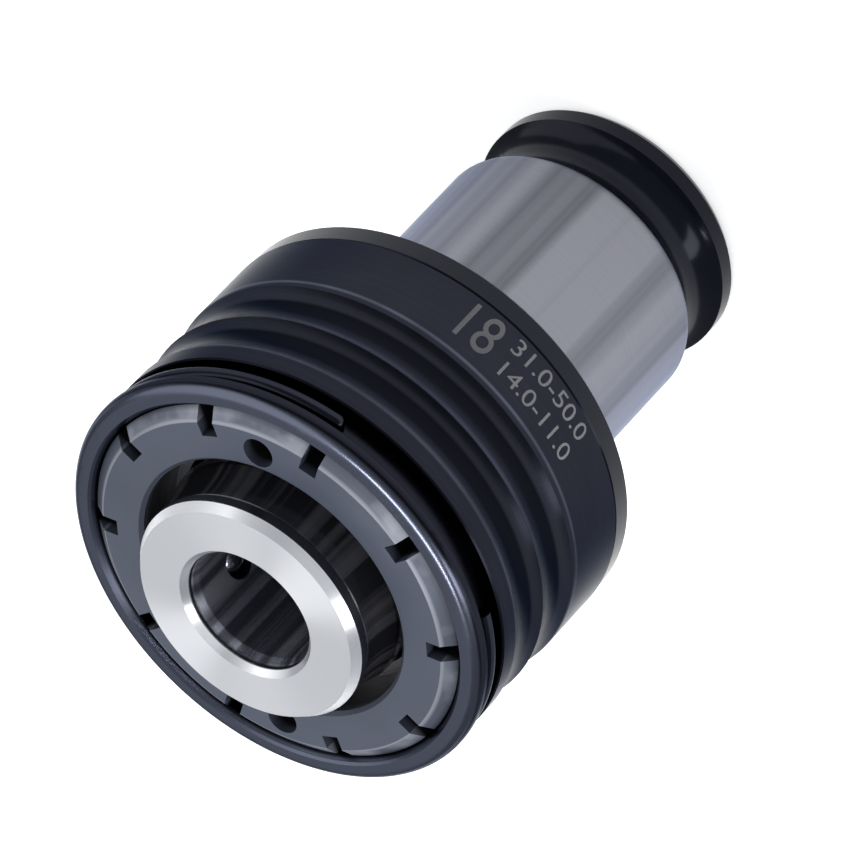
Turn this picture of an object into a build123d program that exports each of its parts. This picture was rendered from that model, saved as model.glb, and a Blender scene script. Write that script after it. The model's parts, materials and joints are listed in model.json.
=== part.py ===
from build123d import *
from math import cos, radians, sin
import os

os.makedirs("parts", exist_ok=True)

# Overall sizes, millimetres. The adapter stands on its tail and the nose points to +Z.
total_length = 71.0
shank_radius = 15.5
shoulder_z = 36.6
head_radius = 24.75
seam_z = 39.3

# Tool seat in the nose.
bore_radius = 7.0
bore_floor_z = 35.0
square_size = 11.1
square_corner_radius = 7.5
square_floor_z = 21.0
coolant_radius = 5.0

# Spindle and its bearings.
spindle_radius = 11.0
spindle_tail_radius = 9.0
spindle_step_z = 20.0
spindle_tail_z = 6.0
running_gap = 0.04
nose_radius = 13.5
nose_back_z = 68.7

# Quick change clamping.
clamp_ball_radius = 2.5
clamp_ball_z = 62.2
clamp_ball_reach = 9.52
clamp_angles = (51, 171, 291)
cone_rise = 0.1286

# Overload clutch.
chamber_radius = 21.0
lining_grooves = 12
lining_top_z = 48.8
hub_bottom_z = 43.9
hub_top_z = 47.6
thrust_ball_radius = 1.18
thrust_ball_z = 42.7
disc_height = 1.46
disc_thickness = 0.9

# Adjusting nut and its lock wire.
thread_radius = 22.08
nut_radius = 22.0
nut_bore_radius = 15.8
nut_back_z = 60.0
nut_face_z = 66.3
nut_slots = 10
slot_angle = 286.1
pin_hole_radius = 18.2
pin_hole_angle = 304.1
wire_radius = 0.85
wire_ring_radius = 23.78
wire_z = 62.6
wire_sweep = 297.7


def outline(*strokes):
    edges = [edge for stroke in strokes for edge in stroke.edges()]
    return make_face(edges)


def polygon(*points):
    return make_face(Polyline(*points, close=True))


def eased(face, *spots):
    # Rounds the corner of a flat profile that is nearest to each (r, z).
    for r, z, size in spots:
        corner = face.vertices().sort_by_distance(Vector(r, z))[0]
        face = fillet(corner, size)
    return face


def turned(face):
    return revolve(Plane.XZ * face, Axis.Z, 360)


def ring(inner, outer, bottom, top):
    return turned(polygon((inner, bottom), (outer, bottom), (outer, top), (inner, top)))


def rod(radius, bottom, top, reach=0.0, angle=0.0):
    # An upright cylinder at a distance from the axis.
    spot = Pos(reach * cos(radians(angle)), reach * sin(radians(angle)), bottom)
    return spot * Cylinder(radius, top - bottom, align=(Align.CENTER, Align.CENTER, Align.MIN))


def spoke(radius, start, end, z, angle):
    # A radial cylinder from one distance to another.
    lying = Rot(0, 90, 0) * Cylinder(radius, end - start, align=(Align.CENTER, Align.CENTER, Align.MIN))
    return Rot(0, 0, angle) * Pos(start, 0, z) * lying


def ball(radius, reach, z, angle):
    return Pos(reach * cos(radians(angle)), reach * sin(radians(angle)), z) * Sphere(radius)


def spread(count, first=0.0):
    return [first + 360.0 * index / count for index in range(count)]


def together(shapes):
    return Compound(children=[shape.solid() for shape in shapes])


def save(shape, name):
    export_step(shape, "parts/" + name + ".step")


# Shank with the ball lock groove at its tail and the rear flange of the head.
groove = ThreePointArc((15.2, 2.6), (12.7, 5.9), (14.3, 8.9))
shank_corner = ThreePointArc((14.3, 8.9), (15.15, 9.55), (shank_radius, 10.9))
shank_sides = Polyline(
    (shank_radius, 10.9),
    (shank_radius, shoulder_z),
    (24.2, shoulder_z),
    (24.6, shoulder_z + 0.4),
    (24.6, seam_z - 0.2),
    (24.4, seam_z),
    (chamber_radius - 0.04, seam_z),
    (chamber_radius - 0.04, 41.2),
    (chamber_radius - 0.34, 41.5),
    (spindle_radius + 0.6, 41.5),
    (spindle_radius + running_gap, 40.9),
    (spindle_radius + running_gap, spindle_step_z),
    (spindle_tail_radius + running_gap, spindle_step_z),
    (spindle_tail_radius + running_gap, 10.0),
    (10.6, 10.0),
    (10.6, 0.5),
    (11.1, 0.0),
    (14.6, 0.0),
    (15.2, 0.8),
    (15.2, 2.6),
)
shank_body = turned(outline(groove, shank_corner, shank_sides))
for angle in (0, 180):
    shank_body -= Rot(0, 0, angle) * Pos(0, 0, 0) * Box(
        12.0, 5.0, 3.5, align=(Align.MIN, Align.CENTER, Align.MIN))
dowel_angles = spread(3, 30)
for angle in dowel_angles:
    shank_body -= rod(1.0, seam_z - 1.7, seam_z + 1, 22.9, angle)
save(shank_body, "shank_body")

# Housing with the two scalloped grips and the groove for the lock wire.
scallop_low = ThreePointArc((24.6, 53.3), (24.0, 50.6), (24.7, 47.9))
scallop_high = ThreePointArc((24.6, 58.4), (24.0, 55.7), (24.6, 53.3))
lip = ThreePointArc((24.9, 64.7), (24.5, 65.6), (23.4, 66.0))
housing_top = Polyline(
    (23.4, 66.0),
    (22.75, 66.0),
    (22.5, 65.75),
    (thread_radius, 65.1),
    (thread_radius, 58.6),
    (chamber_radius, 58.2),
    (chamber_radius, seam_z),
    (24.5, seam_z),
    (head_radius, seam_z + 0.25),
    (head_radius, 47.6),
    (24.7, 47.9),
)
housing_side = Polyline(
    (24.6, 58.4),
    (24.6, 60.6),
    (24.45, 60.8),
    (22.9, 60.8),
    (22.9, 64.1),
    (24.75, 64.1),
    (24.9, 64.25),
    (24.9, 64.7),
)
clutch_housing = turned(outline(scallop_low, scallop_high, housing_side, lip, housing_top))
clutch_housing -= spoke(1.0, 21.5, 24.0, wire_z, slot_angle)
for angle in dowel_angles:
    clutch_housing -= rod(1.0, seam_z - 1, seam_z + 3.3, 22.9, angle)
drive_angles = spread(3, 90)
for angle in drive_angles:
    clutch_housing -= rod(1.22, 48.4, 58.9, chamber_radius, angle)
save(clutch_housing, "clutch_housing")

housing_pins = together(rod(0.98, seam_z - 1.6, seam_z + 3.2, 22.9, a) for a in dowel_angles)
save(housing_pins, "housing_pins")

drive_pins = together(rod(1.2, 48.42, 52.9, chamber_radius, a) for a in drive_angles)
save(drive_pins, "drive_pins")

# Spring wire that locks the nut: an open ring with one end bent inwards.
wire_arc = Pos(0, 0, wire_z) * CenterArc((0, 0), wire_ring_radius, slot_angle, wire_sweep)
wire_start = Plane(origin=wire_arc @ 0, z_dir=wire_arc % 0)
lock_wire = sweep(wire_start * Circle(wire_radius), path=wire_arc)
lock_wire += ball(wire_radius, wire_ring_radius, wire_z, slot_angle)
lock_wire += spoke(wire_radius, 22.3, wire_ring_radius, wire_z, slot_angle)
save(lock_wire.solid(), "lock_wire")

# Adjusting nut with wrench slots, pin wrench holes and a bevelled face.
nut_profile = polygon(
    (nut_bore_radius, nut_back_z),
    (nut_radius - 0.3, nut_back_z),
    (nut_radius, nut_back_z + 0.3),
    (nut_radius, nut_face_z - 1.1),
    (20.6, nut_face_z),
    (nut_bore_radius + 0.4, nut_face_z),
    (nut_bore_radius, nut_face_z - 0.4),
)
adjusting_nut = turned(nut_profile)
for angle in spread(nut_slots, slot_angle):
    slot = Pos(18.9, 0, 61.5) * Box(6, 2.0, 8, align=(Align.MIN, Align.CENTER, Align.MIN))
    adjusting_nut -= Rot(0, 0, angle) * slot
for angle in (pin_hole_angle, pin_hole_angle - 180):
    adjusting_nut -= rod(1.75, nut_face_z - 3.2, nut_face_z + 1, pin_hole_radius, angle)
save(adjusting_nut, "adjusting_nut")

thrust_washer = ring(14.7, 20.8, 59.0, nut_back_z - 0.02)
save(thrust_washer, "thrust_washer")

# Four disc springs stacked edge to edge.
disc_inner = 14.6
disc_outer = 20.4
for number in range(4):
    base = 53.02 + number * (disc_height + 0.02)
    rise = disc_height - disc_thickness
    inner_lift, outer_lift = (rise, 0) if number % 2 else (0, rise)
    disc = turned(polygon(
        (disc_inner, base + inner_lift),
        (disc_outer, base + outer_lift),
        (disc_outer, base + outer_lift + disc_thickness),
        (disc_inner, base + inner_lift + disc_thickness),
    ))
    save(disc, "disc_spring_" + str(number + 1))

# Friction clutch: pressure ring keyed to the housing, its grooved lining and the hub.
pressure_ring = eased(
    polygon((14.5, lining_top_z), (20.7, lining_top_z), (20.7, 53.0), (14.5, 53.0)),
    (20.7, 53.0, 0.4), (20.7, lining_top_z, 0.4))
pressure_ring = turned(pressure_ring)
for angle in drive_angles:
    pressure_ring -= rod(1.26, 48, 54, chamber_radius, angle)
save(pressure_ring, "pressure_ring")

friction_ring = ring(14.9, 19.4, hub_top_z + 0.02, lining_top_z)
for angle in spread(lining_grooves):
    oil_groove = Pos(14, 0, 0) * Box(6, 1.0, hub_top_z + 0.5, align=(Align.MIN, Align.CENTER, Align.MIN))
    friction_ring -= Rot(0, 0, angle) * oil_groove
save(friction_ring, "friction_ring")

key_angles = spread(3, 15)
clutch_hub = turned(polygon(
    (spindle_radius + 0.02, hub_bottom_z),
    (19.7, hub_bottom_z),
    (20.0, hub_bottom_z + 0.3),
    (20.0, hub_top_z - 0.3),
    (19.7, hub_top_z),
    (spindle_radius + 0.02, hub_top_z),
))
for angle in key_angles:
    clutch_hub -= rod(1.02, hub_bottom_z - 1, hub_top_z + 1, spindle_radius, angle)
save(clutch_hub, "clutch_hub")

hub_keys = together(rod(1.0, hub_bottom_z + 0.1, hub_top_z - 0.05, spindle_radius, a) for a in key_angles)
save(hub_keys, "hub_keys")

# Ball thrust bearing under the hub.
thrust_angles = spread(16)
thrust_cage = ring(13.2, 18.8, 42.1, 43.3)
for angle in thrust_angles:
    thrust_cage -= rod(thrust_ball_radius + 0.07, 41, 44.5, 16.0, angle)
save(thrust_cage, "thrust_cage")

thrust_balls = together(ball(thrust_ball_radius, 16.0, thrust_ball_z, a) for a in thrust_angles)
save(thrust_balls, "thrust_balls")

# Spindle: tool bore with lead-in, drive square, clamp ball seats and tail.
spindle = turned(polygon(
    (spindle_tail_radius - 0.5, spindle_tail_z),
    (spindle_tail_radius, spindle_tail_z + 0.5),
    (spindle_tail_radius, 7.75),
    (spindle_tail_radius - 0.6, 7.75),
    (spindle_tail_radius - 0.6, 8.85),
    (spindle_tail_radius, 8.85),
    (spindle_tail_radius, 14.2),
    (7.86, 14.2),
    (7.86, 15.8),
    (spindle_tail_radius, 15.8),
    (spindle_tail_radius, spindle_step_z + 0.1),
    (spindle_radius - 0.4, spindle_step_z + 0.1),
    (spindle_radius, spindle_step_z + 0.5),
    (spindle_radius, nose_back_z),
    (nose_radius - 0.2, nose_back_z),
    (nose_radius, nose_back_z + 0.2),
    (nose_radius, total_length - 1.0),
    (12.8, total_length),
    (8.0, total_length),
    (7.4, total_length - 0.7),
    (bore_radius, total_length - 2.2),
    (bore_radius, bore_floor_z),
    (coolant_radius, bore_floor_z),
    (coolant_radius, spindle_tail_z + 0.4),
    (coolant_radius + 0.4, spindle_tail_z),
))
square = Pos(0, 0, square_floor_z) * Box(
    square_size, square_size, bore_floor_z - square_floor_z + 0.5,
    align=(Align.CENTER, Align.CENTER, Align.MIN))
spindle -= square & rod(square_corner_radius, square_floor_z - 1, bore_floor_z + 0.5)
for angle in clamp_angles:
    spindle -= spoke(2.2, 0, 9, clamp_ball_z, angle)
    spindle -= spoke(2.55, 8.25, 12.5, clamp_ball_z, angle)
for angle in key_angles:
    spindle -= rod(1.02, hub_bottom_z, hub_top_z, spindle_radius, angle)
save(spindle, "spindle")

for number, angle in enumerate(clamp_angles, 1):
    clamp_ball = ball(clamp_ball_radius, clamp_ball_reach, clamp_ball_z, angle)
    save(clamp_ball, "clamp_ball_" + str(number))

# Release sleeve, flared outside, with the cone that lets the clamp balls out.
def cone_at(z):
    return 12.08 + (z - clamp_ball_z) * cone_rise


flare = ThreePointArc((14.0, 64.3), (13.48, 66.3), (13.3, 68.5))
sleeve_walls = Polyline(
    (13.3, 68.5),
    (13.2, 68.6),
    (12.7, 68.6),
    (12.6, 68.5),
    (12.6, 65.7),
    (cone_at(65.7), 65.7),
    (cone_at(59.9), 59.9),
    (spindle_radius + 0.05, 59.9),
    (spindle_radius + 0.05, 58.5),
    (13.0, 58.5),
    (13.0, 54.3),
    (13.3, 54.0),
    (13.7, 54.0),
    (14.0, 54.3),
    (14.0, 63.0),
    (14.25, 63.2),
    (14.25, 63.5),
    (14.0, 63.7),
    (14.0, 64.3),
)
release_sleeve = turned(outline(flare, sleeve_walls))
save(release_sleeve, "release_sleeve")

# Return spring of the sleeve, on a seat that also holds the hub keys in.
spring_seat = ring(spindle_radius + 0.03, 13.0, hub_top_z, 48.2)
save(spring_seat, "spring_seat")

coil = Pos(0, 0, 48.82) * Helix(pitch=9.06 / 4.5, height=9.06, radius=12.1)
release_spring = sweep(Plane(origin=coil @ 0, z_dir=coil % 0) * Circle(0.6), path=coil, is_frenet=True)
save(release_spring, "release_spring")

# Seal, washer and retaining ring on the spindle's tail.
shank_seal = turned(Pos(8.45, 15.0) * Circle(0.57))
save(shank_seal, "shank_seal")

tail_washer = ring(spindle_tail_radius + 0.03, 10.4, 8.9, 9.95)
save(tail_washer, "tail_washer")

tail_circlip = ring(spindle_tail_radius - 0.58, 10.2, 7.8, 8.8)
tail_circlip -= Pos(0, 0, 7) * Box(12, 4, 3, align=(Align.MIN, Align.CENTER, Align.MIN))
save(tail_circlip.solid(), "tail_circlip")
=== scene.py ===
import bpy
import bmesh
import json
from math import cos, pi, radians, sin
from mathutils import Matrix, Vector


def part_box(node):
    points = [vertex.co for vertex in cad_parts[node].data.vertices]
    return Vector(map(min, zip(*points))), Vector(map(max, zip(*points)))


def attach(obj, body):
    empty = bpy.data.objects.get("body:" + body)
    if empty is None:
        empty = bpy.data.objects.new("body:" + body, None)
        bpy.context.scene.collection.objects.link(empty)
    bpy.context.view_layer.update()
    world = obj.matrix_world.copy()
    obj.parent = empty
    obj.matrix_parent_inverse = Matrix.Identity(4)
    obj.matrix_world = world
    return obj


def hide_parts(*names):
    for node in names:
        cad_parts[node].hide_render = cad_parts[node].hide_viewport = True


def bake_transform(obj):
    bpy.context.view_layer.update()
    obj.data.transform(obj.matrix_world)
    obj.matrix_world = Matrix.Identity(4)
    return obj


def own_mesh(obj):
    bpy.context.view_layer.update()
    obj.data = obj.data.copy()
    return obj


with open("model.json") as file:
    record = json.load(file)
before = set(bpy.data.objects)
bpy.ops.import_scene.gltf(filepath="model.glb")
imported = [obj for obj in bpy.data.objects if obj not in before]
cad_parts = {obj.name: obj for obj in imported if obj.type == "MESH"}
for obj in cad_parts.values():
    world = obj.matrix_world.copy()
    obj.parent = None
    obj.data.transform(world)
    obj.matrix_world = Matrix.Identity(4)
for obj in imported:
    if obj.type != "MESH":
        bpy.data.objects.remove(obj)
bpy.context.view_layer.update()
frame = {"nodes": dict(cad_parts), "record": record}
nodes = frame["nodes"]
mm = 0.001  # sizes and places are in millimetres, unless a note says otherwise
bumpDepth = 0.02
noiseSpan = (0.3, 0.7)  # where most values of a noise lie


# Shader helpers

def newMaterial(name):
    material = bpy.data.materials.new(name)
    material.use_nodes = True
    tree = material.node_tree
    return material, tree, tree.nodes["Principled BSDF"]


def addNode(tree, kind, **settings):
    node = tree.nodes.new(kind)
    for key, value in settings.items():
        setattr(node, key, value)
    return node


def feed(tree, value, socket):
    # A number or a colour is set on the socket itself, and an output is linked to it.
    if isinstance(value, (int, float)):
        socket.default_value = value
    elif isinstance(value, tuple):
        socket.default_value = (*value, 1)
    else:
        tree.links.new(value, socket)


def feedAll(tree, node, values):
    for socket, value in values.items():
        feed(tree, value, node.inputs[socket])


def calc(tree, operation, first, second=None):
    node = addNode(tree, "ShaderNodeMath", operation=operation)
    feed(tree, first, node.inputs[0])
    if second is not None:
        feed(tree, second, node.inputs[1])
    return node.outputs[0]


def blendColor(tree, factor, first, second):
    node = addNode(tree, "ShaderNodeMix", data_type="RGBA")
    feedAll(tree, node, {0: factor, 6: first, 7: second})  # 6 and 7 are the colour inputs
    return node.outputs[2]


def mapRange(tree, value, low, high, start=0.0, end=1.0):
    node = addNode(tree, "ShaderNodeMapRange")
    feedAll(tree, node, {0: value, 1: low, 2: high, 3: start, 4: end})
    return node.outputs[0]


def between(tree, place, limits, start=0.0, end=1.0):
    # Goes from start to end between two heights or two radii.
    return mapRange(tree, place, limits[0] * mm, limits[1] * mm, start, end)


def noise(tree, place, scale, detail):
    node = addNode(tree, "ShaderNodeTexNoise")
    feedAll(tree, node, {"Vector": place, "Scale": scale, "Detail": detail})
    return node.outputs[0]


def bump(tree, shader, height, strength):
    node = addNode(tree, "ShaderNodeBump")
    feedAll(tree, node, {"Height": height, "Strength": strength, "Distance": bumpDepth * mm})
    feed(tree, node.outputs[0], shader.inputs["Normal"])


def newGroup(name, inputs, outputs):
    group = bpy.data.node_groups.new(name, "ShaderNodeTree")
    for side, sockets in (("INPUT", inputs), ("OUTPUT", outputs)):
        for socket in sockets:
            group.interface.new_socket(socket, in_out=side, socket_type="NodeSocketFloat")
    source = addNode(group, "NodeGroupInput")
    sink = addNode(group, "NodeGroupOutput")
    place = addNode(group, "ShaderNodeTexCoord").outputs["Object"]
    axes = addNode(group, "ShaderNodeSeparateXYZ")
    feed(group, place, axes.inputs[0])
    return group, source.outputs, sink.inputs, place, axes.outputs


# Marks that the finishes share, and painted reflection streaks

marksLook = {
    "lineDetail": 3.0,
    "smudgePerMetre": 95.0,
    "smudgeDetail": 4.0,
    "streakDetail": 4.0,
}


def makeTurningGroup(spec):
    # Rings left by the lathe: a pattern of the distance from the axis and the height only.
    outputs = ("Lines", "Smudge", "Radius", "Height")
    group, source, sink, place, axes = newGroup("turningMarks", ("Per Metre",), outputs)
    squares = [calc(group, "POWER", axis, 2.0) for axis in axes[:2]]
    radius = calc(group, "SQRT", calc(group, "ADD", *squares))
    where = addNode(group, "ShaderNodeCombineXYZ")
    feed(group, calc(group, "MULTIPLY", radius, source["Per Metre"]), where.inputs[0])
    feed(group, calc(group, "MULTIPLY", axes[2], source["Per Metre"]), where.inputs[1])
    feed(group, noise(group, where.outputs[0], 1.0, spec["lineDetail"]), sink["Lines"])
    smudge = noise(group, place, spec["smudgePerMetre"], spec["smudgeDetail"])
    feed(group, smudge, sink["Smudge"])
    feed(group, radius, sink["Radius"])
    feed(group, axes[2], sink["Height"])
    return group


def makeStreakGroup(spec):
    # Painted reflection streaks that run along the axis: noise of the direction round it.
    group, source, sink, place, axes = newGroup("paintedAxialReflections", ("Scale",), ("Streaks",))
    flat = addNode(group, "ShaderNodeCombineXYZ")
    unit = addNode(group, "ShaderNodeVectorMath", operation="NORMALIZE")
    feed(group, axes[0], flat.inputs[0])
    feed(group, axes[1], flat.inputs[1])
    feed(group, flat.outputs[0], unit.inputs[0])
    paintedStreaks = noise(group, unit.outputs[0], source["Scale"], spec["streakDetail"])
    feed(group, paintedStreaks, sink["Streaks"])
    return group


turningGroup = makeTurningGroup(marksLook)
streakGroup = makeStreakGroup(marksLook)


def turning(tree, linesPerMetre):
    node = addNode(tree, "ShaderNodeGroup", node_tree=turningGroup)
    feed(tree, linesPerMetre, node.inputs["Per Metre"])
    return node.outputs


def paintedAxialReflections(tree, spec):
    node = addNode(tree, "ShaderNodeGroup", node_tree=streakGroup)
    feed(tree, spec["scale"], node.inputs["Scale"])
    return mapRange(tree, node.outputs["Streaks"], spec["from"], spec["to"])


def patches(tree, marks, spec):
    return mapRange(tree, marks["Smudge"], spec["from"], spec["to"], spec["least"], spec["most"])


def varied(tree, mark, limits):
    # Follows a noise between two values.
    return mapRange(tree, mark, *noiseSpan, *limits)


# Finishes

oxide = {
    "color": (0.0052, 0.0058, 0.0110),
    "shine": (0.78, 0.84, 1.0),
}

blackened = {
    "color": (0.0118, 0.0125, 0.0182),
    "worn": (0.0230, 0.0243, 0.0340),
    "shader": {"Metallic": 1.0, "Specular Tint": (0.49, 0.50, 0.52)},
    "bump": 0.25,
}

wireLook = {
    "linesPerMetre": 9000.0,
    "wear": 2.4,
    "roughness": (0.187, 0.264),
}

housingLook = {
    "linesPerMetre": 3600.0,
    "wear": 1.4,
    "roughness": (0.221, 0.312),
    # the hollow tone is painted shade, the ridge tone a painted highlight
    "paintedHollowShade": (0.0040, 0.0043, 0.0068),
    "paintedRidgeHighlight": (0.070, 0.078, 0.105),
    "ridgePatches": {"from": 0.3, "to": 0.6, "least": 0.35, "most": 1.0},
    "cleanRimAndHighlight": (0.098, 0.108, 0.146),
    "rimDepth": (0.70, 0.45),  # below the housing's front end
}

# Painted light along the grips' axis: painted shade in the hollows, plain oxide between, and painted
# highlights on the edges.
gripPaintedLight = {
    "hollowLevel": 0.05,
    "plainLevel": 0.5,
    "ridgeLevel": 1.0,
    "from": 46.0,
    "to": 61.0,
    "levels": (  # each a height and how much painted light it gets there
        (46.0, 0.50), (46.85, 0.50), (47.12, 0.95), (47.45, 0.50), (49.3, 0.50), (49.7, 0.05),
        (51.2, 0.10), (52.3, 0.52), (53.0, 0.92), (53.35, 0.42), (54.6, 0.40), (54.95, 0.05),
        (56.7, 0.08), (57.7, 0.52), (58.3, 0.92), (58.7, 0.42), (60.6, 0.40),
    ),
}


def paintedLightAlong(tree, height, spec):
    span = spec["to"] - spec["from"]
    ramp = addNode(tree, "ShaderNodeValToRGB")
    stops = ramp.color_ramp.elements
    for index, (level, value) in enumerate(spec["levels"]):
        where = (level - spec["from"]) / span
        stop = stops[index] if index < 2 else stops.new(where)  # a new ramp has two stops
        stop.position = where
        stop.color = (value, value, value, 1)
    feed(tree, between(tree, height, (spec["from"], spec["to"])), ramp.inputs[0])
    return ramp.outputs[0]


def shadeGrips(tree, marks, color, spec):
    # Painted shade in the grips' hollows, patchy painted highlights on their edges, and a front rim
    # that is turned clean and painted lighter as a painted reflection of the light above.
    level = paintedLightAlong(tree, marks["Height"], gripPaintedLight)
    plain = gripPaintedLight["plainLevel"]
    paintedHollowShade = mapRange(tree, level, gripPaintedLight["hollowLevel"], plain, 1.0, 0.0)
    paintedRidgeHighlight = mapRange(tree, level, plain, gripPaintedLight["ridgeLevel"])
    paintedRidgeHighlight = calc(tree, "MULTIPLY", paintedRidgeHighlight, patches(tree, marks, spec["ridgePatches"]))
    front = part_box("clutch_housing")[1].z / mm
    cleanRimAndHighlight = between(tree, marks["Height"], [front - depth for depth in spec["rimDepth"]])
    # painted shade in the hollows, then patchy painted highlights on the edges
    color = blendColor(tree, paintedHollowShade, color, spec["paintedHollowShade"])
    color = blendColor(tree, paintedRidgeHighlight, color, spec["paintedRidgeHighlight"])
    # the front rim is turned clean and painted lighter, a painted reflection of the light above
    return blendColor(tree, cleanRimAndHighlight, color, spec["cleanRimAndHighlight"])


def blackOxide(name, spec, grips=False):
    # Near black, with faint rings and smudges where the steel shows through.
    material, tree, shader = newMaterial(name)
    marks = turning(tree, spec["linesPerMetre"])
    both = calc(tree, "MULTIPLY", marks["Lines"], marks["Smudge"])
    wear = calc(tree, "MULTIPLY", both, spec["wear"])
    color = blendColor(tree, wear, blackened["color"], blackened["worn"])
    # on the grips: painted shade in the hollows and painted highlights on the edges and the rim
    if grips:
        color = shadeGrips(tree, marks, color, spec)
    feedAll(tree, shader, {
        "Base Color": color,
        "Roughness": varied(tree, marks["Smudge"], spec["roughness"]),
        **blackened["shader"],
    })
    bump(tree, shader, marks["Lines"], blackened["bump"])
    return material


shankLook = {
    "linesPerMetre": 5200.0,
    "groundFrom": (8.92, 9.00),
    "groundTo": (36.45, 36.60),
    "groundOutside": (14.2, 14.4),  # radii
    "ground": (0.165, 0.168, 0.190),
    "light": (0.215, 0.218, 0.246),
    # the darker tone of the painted reflection bands
    "band": (0.092, 0.095, 0.111),
    "paintedReflectionBands": {"scale": 2.6, "from": 0.44, "to": 0.62},
    "groundRoughness": (0.31, 0.38),
    "oxideRoughness": 0.17,
    "shader": {
        "Specular IOR Level": 0.16,
        "Specular Tint": oxide["shine"],
        "Anisotropic": 0.7,
        "Anisotropic Rotation": 0.25,
    },
    "bump": 0.10,
}


def shankSteel(spec):
    # The shank is ground between the black tail and the black rear flange, with painted reflection
    # bands along its axis.
    material, tree, shader = newMaterial("shankSteel")
    marks = turning(tree, spec["linesPerMetre"])
    above = between(tree, marks["Height"], spec["groundFrom"])
    below = between(tree, marks["Height"], spec["groundTo"], 1.0, 0.0)
    outside = between(tree, marks["Radius"], spec["groundOutside"])
    bare = calc(tree, "MULTIPLY", calc(tree, "MULTIPLY", above, below), outside)
    steel = blendColor(tree, marks["Lines"], spec["ground"], spec["light"])
    # painted reflection bands: soft darker stripes along the axis
    steel = blendColor(tree, paintedAxialReflections(tree, spec["paintedReflectionBands"]), steel, spec["band"])
    grind = varied(tree, marks["Lines"], spec["groundRoughness"])
    extra = calc(tree, "MULTIPLY", bare, calc(tree, "SUBTRACT", grind, spec["oxideRoughness"]))
    feedAll(tree, shader, {
        "Base Color": blendColor(tree, bare, oxide["color"], steel),
        "Metallic": bare,
        "Roughness": calc(tree, "ADD", extra, spec["oxideRoughness"]),
        **spec["shader"],
    })
    bump(tree, shader, marks["Lines"], spec["bump"])
    return material


spindleLook = {
    "linesPerMetre": 7000.0,
    "faceDepth": (1.05, 0.98),  # below the nose
    "faceOutside": (7.36, 7.42),  # radii
    "face": (0.80, 0.81, 0.84),
    "faceLight": (0.90, 0.91, 0.94),
    "boreWithin": (7.2, 7.3),
    "bore": (0.17, 0.175, 0.21),
    "borePaintedReflection": (0.64, 0.66, 0.74),
    "borePaintedStreaks": {"scale": 5.5, "from": 0.44, "to": 0.60},
    "boreMetallic": 0.9,
    "oxideRoughness": 0.22,
    "faceRoughness": 0.30,
    "shader": {
        "Specular IOR Level": 0.5,
        "Anisotropic": 0.85,
        "Anisotropic Rotation": 0.25,
    },
    "bump": 0.2,
}


def spindleSteel(spec):
    # Black spindle whose face and chamfers were turned bright after blackening. Its bore is dark
    # steel with painted reflection streaks along the axis.
    material, tree, shader = newMaterial("spindleSteel")
    marks = turning(tree, spec["linesPerMetre"])
    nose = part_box("spindle")[1].z / mm
    front = between(tree, marks["Height"], [nose - depth for depth in spec["faceDepth"]])
    bright = calc(tree, "MULTIPLY", front, between(tree, marks["Radius"], spec["faceOutside"]))
    face = blendColor(tree, marks["Lines"], spec["face"], spec["faceLight"])
    bore = between(tree, marks["Radius"], spec["boreWithin"], 1.0, 0.0)
    # painted reflection streaks along the bore's axis
    paintedStreaks = paintedAxialReflections(tree, spec["borePaintedStreaks"])
    boreWithPaintedStreaks = blendColor(tree, paintedStreaks, spec["bore"], spec["borePaintedReflection"])
    dark = blendColor(tree, bore, oxide["color"], boreWithPaintedStreaks)
    honedMetal = calc(tree, "MULTIPLY", bore, spec["boreMetallic"])
    rough = (spec["oxideRoughness"], spec["faceRoughness"])
    feedAll(tree, shader, {
        "Base Color": blendColor(tree, bright, dark, face),
        "Metallic": calc(tree, "MAXIMUM", bright, honedMetal),
        "Roughness": mapRange(tree, bright, 0.0, 1.0, *rough),
        **spec["shader"],
    })
    bump(tree, shader, marks["Lines"], spec["bump"])
    return material


nutLook = {
    "linesPerMetre": 4200.0,
    "cleanDepth": (1.4, 0.7),  # below the nut's face
    "bevelWidth": (1.50, 1.40),  # in from the nut's rim
    # the line is a painted highlight round the bevel's inner edge
    "paintedLineWidth": (1.25, 0.95),
    "paintedLineStrength": 0.7,
    "bevelPatches": {"from": 0.50, "to": 0.64, "least": 0.05, "most": 0.8},
    "steel": (0.058, 0.069, 0.098),
    "worn": (0.084, 0.098, 0.134),
    "paintedSheenAndWear": (0.34, 0.36, 0.41),
    "slots": (0.004, 0.004, 0.006),
    "metallic": 0.35,
    "roughness": (0.30, 0.42),
    "shader": {
        "Specular IOR Level": 0.6,
        "Anisotropic": 0.4,
        "Anisotropic Rotation": 0.25,
    },
    "bump": 0.35,
}


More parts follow.
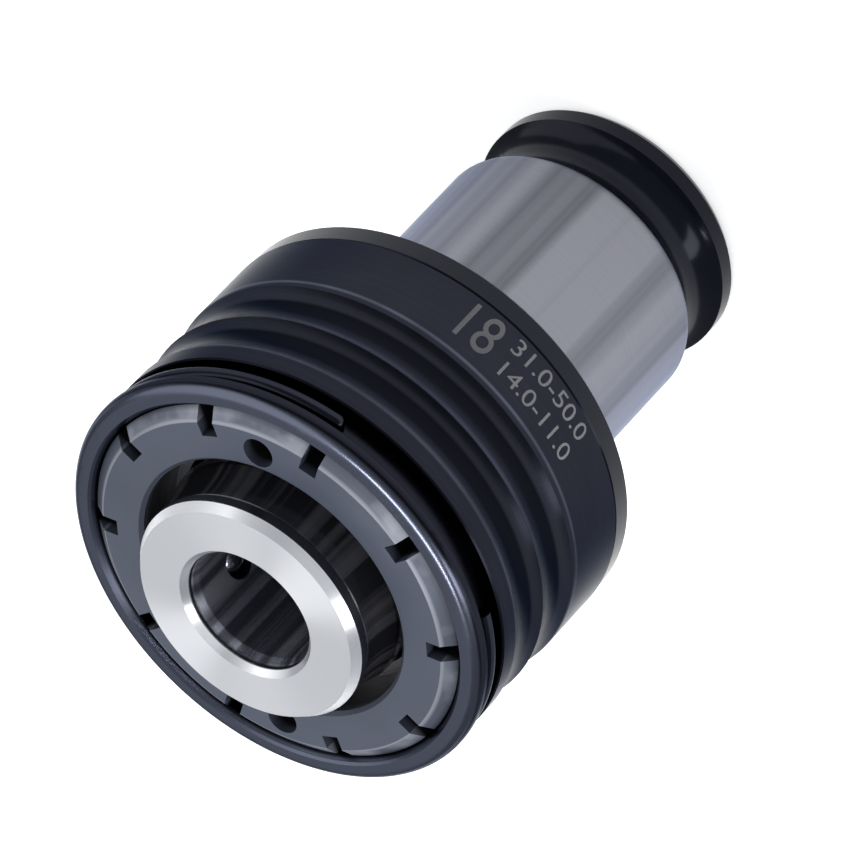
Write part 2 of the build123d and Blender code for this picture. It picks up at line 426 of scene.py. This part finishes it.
def nutSteel(spec):
    # Only the face and the bevel are turned clean, with a painted highlight line round the bevel's
    # inner edge and rubbed patches. Slots, holes and bore keep the dark oxide.
    material, tree, shader = newMaterial("nutSteel")
    marks = turning(tree, spec["linesPerMetre"])
    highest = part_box("adjusting_nut")[1] / mm
    clean = between(tree, marks["Height"], [highest.z - depth for depth in spec["cleanDepth"]])
    bevel = between(tree, marks["Radius"], [highest.x - width for width in spec["bevelWidth"]])
    # a painted highlight line round the bevel's inner edge, joined by rubbed wear patches
    paintedLineLimits = [highest.x - width for width in spec["paintedLineWidth"]]
    line = between(tree, marks["Radius"], paintedLineLimits, spec["paintedLineStrength"], 0.0)
    paintedSheenAndWear = calc(tree, "MAXIMUM", line, patches(tree, marks, spec["bevelPatches"]))
    worn = blendColor(tree, marks["Smudge"], spec["steel"], spec["worn"])
    worn = blendColor(tree, calc(tree, "MULTIPLY", bevel, paintedSheenAndWear), worn, spec["paintedSheenAndWear"])
    feedAll(tree, shader, {
        "Base Color": blendColor(tree, clean, spec["slots"], worn),
        "Metallic": calc(tree, "MULTIPLY", clean, spec["metallic"]),
        "Roughness": varied(tree, marks["Lines"], spec["roughness"]),
        **spec["shader"],
    })
    bump(tree, shader, marks["Lines"], spec["bump"])
    return material


sleeveLook = {
    "linesPerMetre": 2500.0,
    "black": (0.0090, 0.0092, 0.0115),
    "paintedSheenAndWear": (0.13, 0.13, 0.15),
    "paintedSheenMetallic": 0.8,
    "paintedStreaks": {"scale": 3.6, "from": 0.50, "to": 0.68},
    "roughness": (0.12, 0.20),
    "shader": {"Specular IOR Level": 0.7},
    "bump": 0.15,
}


def sleeveSteel(spec):
    # Polished black sleeve with painted reflection streaks along its axis.
    material, tree, shader = newMaterial("sleeveSteel")
    marks = turning(tree, spec["linesPerMetre"])
    # painted reflection streaks, lighter and metallic, along the axis
    paintedStreaks = paintedAxialReflections(tree, spec["paintedStreaks"])
    feedAll(tree, shader, {
        "Base Color": blendColor(tree, paintedStreaks, spec["black"], spec["paintedSheenAndWear"]),
        "Metallic": calc(tree, "MULTIPLY", paintedStreaks, spec["paintedSheenMetallic"]),
        "Roughness": varied(tree, marks["Smudge"], spec["roughness"]),
        **spec["shader"],
    })
    bump(tree, shader, marks["Lines"], spec["bump"])
    return material


# Finishes of the inner pieces: name, dark tone, light tone, roughness and metallic.
innerLooks = {
    "bright_steel": ("innerSteel", (0.36, 0.36, 0.38), (0.46, 0.46, 0.48), (0.256, 0.384), 1.0),
    "spring_steel": ("springSteel", (0.10, 0.10, 0.13), (0.18, 0.18, 0.22), (0.24, 0.36), 1.0),
    "lining": ("frictionLining", (0.24, 0.16, 0.10), (0.34, 0.23, 0.15), (0.44, 0.66), 1.0),
    "ball_steel": ("ballSteel", (0.58, 0.58, 0.60), (0.68, 0.68, 0.70), (0.08, 0.12), 1.0),
    "cage_brass": ("cageBrass", (0.50, 0.34, 0.12), (0.60, 0.42, 0.17), (0.272, 0.408), 1.0),
    "seal_rubber": ("sealRubber", (0.012, 0.012, 0.012), (0.022, 0.022, 0.022), (0.48, 0.72), 0.0),
}
innerMarks = {
    "linesPerMetre": 5000.0,
    "bump": 0.15,
}


def plainFinish(name, dark, light, roughness, metallic):
    material, tree, shader = newMaterial(name)
    marks = turning(tree, innerMarks["linesPerMetre"])
    feedAll(tree, shader, {
        "Base Color": blendColor(tree, marks["Smudge"], dark, light),
        "Metallic": metallic,
        "Roughness": varied(tree, marks["Lines"], roughness),
    })
    bump(tree, shader, marks["Lines"], innerMarks["bump"])
    return material


looks = {
    "ground_steel": shankSteel(shankLook),
    "black_oxide": blackOxide("housingOxide", housingLook, grips=True),
    "wire_steel": blackOxide("wireOxide", wireLook),
    "nut_steel": nutSteel(nutLook),
    "sleeve_steel": sleeveSteel(sleeveLook),
    "spindle_steel": spindleSteel(spindleLook),
}
for slot, look in innerLooks.items():
    looks[slot] = plainFinish(*look)
for row in frame["record"]["subparts"]:
    slots = nodes[row["node"]].data.materials
    slots.clear()
    slots.append(looks[row["material_slot"]])
print("materials set on", len(nodes), "nodes")


# Pieces made here

creaseAngle = 38  # degrees
mergeWithin = 1e-7  # metres


def finishPiece(name, work, material, body=None, smooth=True):
    bmesh.ops.remove_doubles(work, verts=work.verts, dist=mergeWithin)
    bmesh.ops.recalc_face_normals(work, faces=work.faces)
    mesh = bpy.data.meshes.new(name)
    work.to_mesh(mesh)
    work.free()
    for face in mesh.polygons:
        face.use_smooth = smooth
    mesh.set_sharp_from_angle(angle=radians(creaseAngle))
    piece = bpy.data.objects.new(name, mesh)
    bpy.context.collection.objects.link(piece)
    mesh.materials.append(material)
    if body:
        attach(piece, body)
    return piece


# Start is the angle of a line's left end in degrees, and base the height of its baseline.
numbers = {
    "bandRadius": 24.75,
    "standOff": 0.012,
    "cutEvery": 0.35,
    "resolution": 6,
    "lines": (
        {"text": "18", "size": 7.4, "stretch": 0.74, "start": 283.0, "base": 45.25, "ink": 0},
        {"text": "31.0-50.0", "size": 3.05, "stretch": 1.08, "start": 268.0, "base": 42.15, "ink": 1},
        {"text": "14.0-11.0", "size": 3.05, "stretch": 1.08, "start": 267.6, "base": 45.45, "ink": 1},
    ),
    "inks": (
        ("markFaint", (0.045, 0.046, 0.054), (0.105, 0.106, 0.118)),
        ("markClear", (0.105, 0.106, 0.115), (0.20, 0.20, 0.215)),
    ),
    "linesPerMetre": 9000.0,
    "roughness": (0.45, 0.62),
}


def markInk(spec, name, dark, light):
    # Laser marking: the oxide burnt back to a pale, slightly grainy grey.
    material, tree, shader = newMaterial(name)
    marks = turning(tree, spec["linesPerMetre"])
    feedAll(tree, shader, {
        "Base Color": blendColor(tree, marks["Lines"], dark, light),
        "Roughness": varied(tree, marks["Smudge"], spec["roughness"]),
    })
    return material


def flatLine(line, spec):
    # One line of text as a flat mesh, cut across so that it can follow the band.
    curve = bpy.data.curves.new("numberLine", "FONT")
    curve.body = line["text"]
    curve.size = line["size"] * mm
    curve.resolution_u = spec["resolution"]
    holder = bpy.data.objects.new("numberLine", curve)
    bpy.context.collection.objects.link(holder)
    ready = holder.evaluated_get(bpy.context.evaluated_depsgraph_get())
    flat = bpy.data.meshes.new_from_object(ready)
    bpy.data.objects.remove(holder)
    part = bmesh.new()
    part.from_mesh(flat)
    step = spec["cutEvery"] * mm
    right = max(vertex.co.x for vertex in part.verts)
    for index in range(1, int(right / step) + 1):
        bmesh.ops.bisect_plane(part, geom=part.verts[:] + part.edges[:] + part.faces[:],
                               plane_co=(index * step, 0, 0), plane_no=(1, 0, 0))
    return flat, part


def makeNumbers(spec):
    # Plain size numbers round the band. They read towards -X and their tops point to the shank.
    work = bmesh.new()
    radius = (spec["bandRadius"] + spec["standOff"]) * mm
    for line in spec["lines"]:
        flat, part = flatLine(line, spec)
        for vertex in part.verts:
            angle = radians(line["start"]) - vertex.co.x * line["stretch"] / radius
            vertex.co = (radius * cos(angle), radius * sin(angle), line["base"] * mm - vertex.co.y)
        for face in part.faces:
            face.material_index = line["ink"]
        part.to_mesh(flat)
        part.free()
        work.from_mesh(flat)
    faint, clear = [markInk(spec, *ink) for ink in spec["inks"]]
    piece = finishPiece("band_numbers", work, faint, "adapter_body", smooth=False)
    piece.data.materials.append(clear)


makeNumbers(numbers)
print("band numbers made")


# A run has its turns and its rise. The open one in the middle takes the rest of the height.
releaseSpring = {
    "node": "release_spring",
    "wire": 0.6,  # radius
    "sides": 12,
    "closedRuns": ((0.5, 0.20), (0.4, 0.42)),
    "openTurns": 4.2,
    "stepsPerTurn": 50,
    "shortest": 0.66,  # share of its length with the sleeve back
}


def makeReleaseSpring(spec):
    low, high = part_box(spec["node"])
    wire = spec["wire"] * mm
    ends = [(turns, rise * mm) for turns, rise in spec["closedRuns"]]
    openRise = high.z - low.z - 2 * wire - 2 * sum(rise for turns, rise in ends)
    work = bmesh.new()
    start = Matrix.Translation((high.x - wire, 0, low.z + wire))
    bmesh.ops.create_circle(work, segments=spec["sides"], radius=wire,
                            matrix=start @ Matrix.Rotation(radians(90), 4, "X"))
    front = work.verts[:] + work.edges[:]
    for turns, rise in (*ends, (spec["openTurns"], openRise), *reversed(ends)):
        steps = round(turns * spec["stepsPerTurn"])
        coil = bmesh.ops.spin(work, geom=front, axis=(0, 0, 1), cent=(0, 0, 0), angle=2 * pi * turns,
                              dvec=(0, 0, rise / steps), steps=steps)
        front = coil["geom_last"]
    bmesh.ops.holes_fill(work, edges=[edge for edge in work.edges if edge.is_boundary])
    spring = finishPiece("release_spring_coil", work, looks["spring_steel"], "spindle")
    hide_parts(spec["node"])
    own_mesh(spring)


makeReleaseSpring(releaseSpring)
print("release spring made")


discStack = {
    "nodes": ("disc_spring_1", "disc_spring_2", "disc_spring_3", "disc_spring_4"),
    "inner": 14.6,  # radius
    "thick": 0.90,
    "edge": 0.12,
    "segments": 144,
}


def discCorners(spec, number):
    # Section of one coned disc. Every second disc is turned over, so they meet edge to edge.
    low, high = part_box(spec["nodes"][number])
    inner, thick, edge = [spec[size] * mm for size in ("inner", "thick", "edge")]
    rise = high.z - low.z - thick
    innerLift = rise if number % 2 else 0.0
    outerLift = rise - innerLift
    corners = (
        Vector((inner, 0, low.z + innerLift)),
        Vector((high.x, 0, low.z + outerLift)),
        Vector((high.x, 0, low.z + outerLift + thick)),
        Vector((inner, 0, low.z + innerLift + thick)),
    )
    broken = []
    for index, corner in enumerate(corners):
        for other in (corners[index - 1], corners[(index + 1) % 4]):
            broken.append(corner + (other - corner).normalized() * edge)
    return broken


def makeDiscStack(spec):
    # One piece for all the discs, which stretches between the pressure ring and the nut's washer.
    work = bmesh.new()
    for number in range(len(spec["nodes"])):
        loop = [work.verts.new(corner) for corner in discCorners(spec, number)]
        edges = [work.edges.new((vertex, loop[index - 1])) for index, vertex in enumerate(loop)]
        bmesh.ops.spin(work, geom=loop + edges, axis=(0, 0, 1), cent=(0, 0, 0), angle=2 * pi,
                       steps=spec["segments"], use_merge=True)
    stack = finishPiece("disc_spring_stack", work, looks["spring_steel"])
    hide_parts(*spec["nodes"])
    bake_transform(stack)


makeDiscStack(discStack)
print("disc springs made")


# Camera, floor and lamps

photoCamera = {
    "focalPixels": 8459,
    "photoPixels": 850,
    "sensor": 36,
    "clip": (0.01, 20),  # metres, as is its place
    "place": (-0.00001, -0.69110, 0.58000),
    "forward": (0.0, 0.78650, -0.61760),
    "right": (-0.72700, -0.42430, -0.54000),
    "up": (0.68660, -0.44930, -0.57180),
}


def makeCamera(spec):
    data = bpy.data.cameras.new("photoCamera")
    data.sensor_width = spec["sensor"]
    data.lens = spec["focalPixels"] / spec["photoPixels"] * spec["sensor"]
    data.clip_start, data.clip_end = spec["clip"]
    camera = bpy.data.objects.new("photoCamera", data)
    bpy.context.collection.objects.link(camera)
    back = -Vector(spec["forward"])
    turn = Matrix((spec["right"], spec["up"], back)).transposed().to_4x4()
    camera.matrix_world = Matrix.Translation(spec["place"]) @ turn
    bpy.context.scene.camera = camera


floorLook = {
    "half": 4,  # metres
    "color": (0.86, 0.86, 0.86),
    "roughness": 0.9,
    "glow": 0.60,  # seen by the camera and in reflections, without lighting the object
}


def makeFloor(spec):
    work = bmesh.new()
    bmesh.ops.create_grid(work, x_segments=1, y_segments=1, size=spec["half"])
    mesh = bpy.data.meshes.new("floor")
    work.to_mesh(mesh)
    work.free()
    floor = bpy.data.objects.new("floor", mesh)
    bpy.context.collection.objects.link(floor)
    material, tree, shader = newMaterial("floorPaper")
    path = addNode(tree, "ShaderNodeLightPath").outputs
    seen = calc(tree, "MAXIMUM", path["Is Camera Ray"], path["Is Glossy Ray"])
    seen = calc(tree, "MAXIMUM", seen, path["Is Transmission Ray"])
    feedAll(tree, shader, {
        "Base Color": spec["color"],
        "Roughness": spec["roughness"],
        "Specular IOR Level": 0.0,
        "Emission Color": (1, 1, 1),
        "Emission Strength": calc(tree, "MULTIPLY", seen, spec["glow"]),
    })
    mesh.materials.append(material)


# Direction from the aim, distance and size in metres, turn about the beam in degrees, and watts.
lampAim = (0, 0, 66.0)
lamps = {
    "noseLamp": {
        "towards": (-0.20, 0.01, 0.98), "away": 0.90, "size": (0.10, 0.55), "turn": -15, "power": 5.5,
    },
    "backSoftbox": {
        "towards": (0.0, 0.7865, 0.6176), "away": 1.30, "size": (1.30, 1.10), "turn": 0, "power": 1.5,
    },
    "keySoftbox": {
        "towards": (0.62, 0.10, 0.72), "away": 1.00, "size": (1.10, 1.10), "turn": 0, "power": 4.5,
    },
    "sideSoftbox": {
        "towards": (-0.85, -0.45, 0.35), "away": 1.00, "size": (0.30, 0.90), "turn": 0, "power": 4.0,
    },
}


def makeLamps(specs):
    aim = Vector(lampAim) * mm
    for name, spec in specs.items():
        data = bpy.data.lights.new(name, "AREA")
        data.shape = "RECTANGLE"
        data.size, data.size_y = spec["size"]
        data.energy = spec["power"]
        lamp = bpy.data.objects.new(name, data)
        bpy.context.collection.objects.link(lamp)
        beam = Vector(spec["towards"]).normalized()
        facing = (-beam).to_track_quat("-Z", "Y").to_matrix().to_4x4()
        turn = Matrix.Rotation(radians(spec["turn"]), 4, "Z")
        lamp.matrix_world = Matrix.Translation(aim + beam * spec["away"]) @ facing @ turn


studio = {
    "color": (0.92, 0.95, 1.0),
    "strength": 0.35,
}


def makeWorld(spec):
    world = bpy.data.worlds.new("studio")
    world.use_nodes = True
    tree = world.node_tree
    feedAll(tree, tree.nodes["Background"], {"Color": spec["color"], "Strength": spec["strength"]})
    bpy.context.scene.world = world


makeCamera(photoCamera)
makeFloor(floorLook)
makeLamps(lamps)
makeWorld(studio)
bpy.context.scene.view_settings.view_transform = "Standard"
print("camera, floor and lamps set")
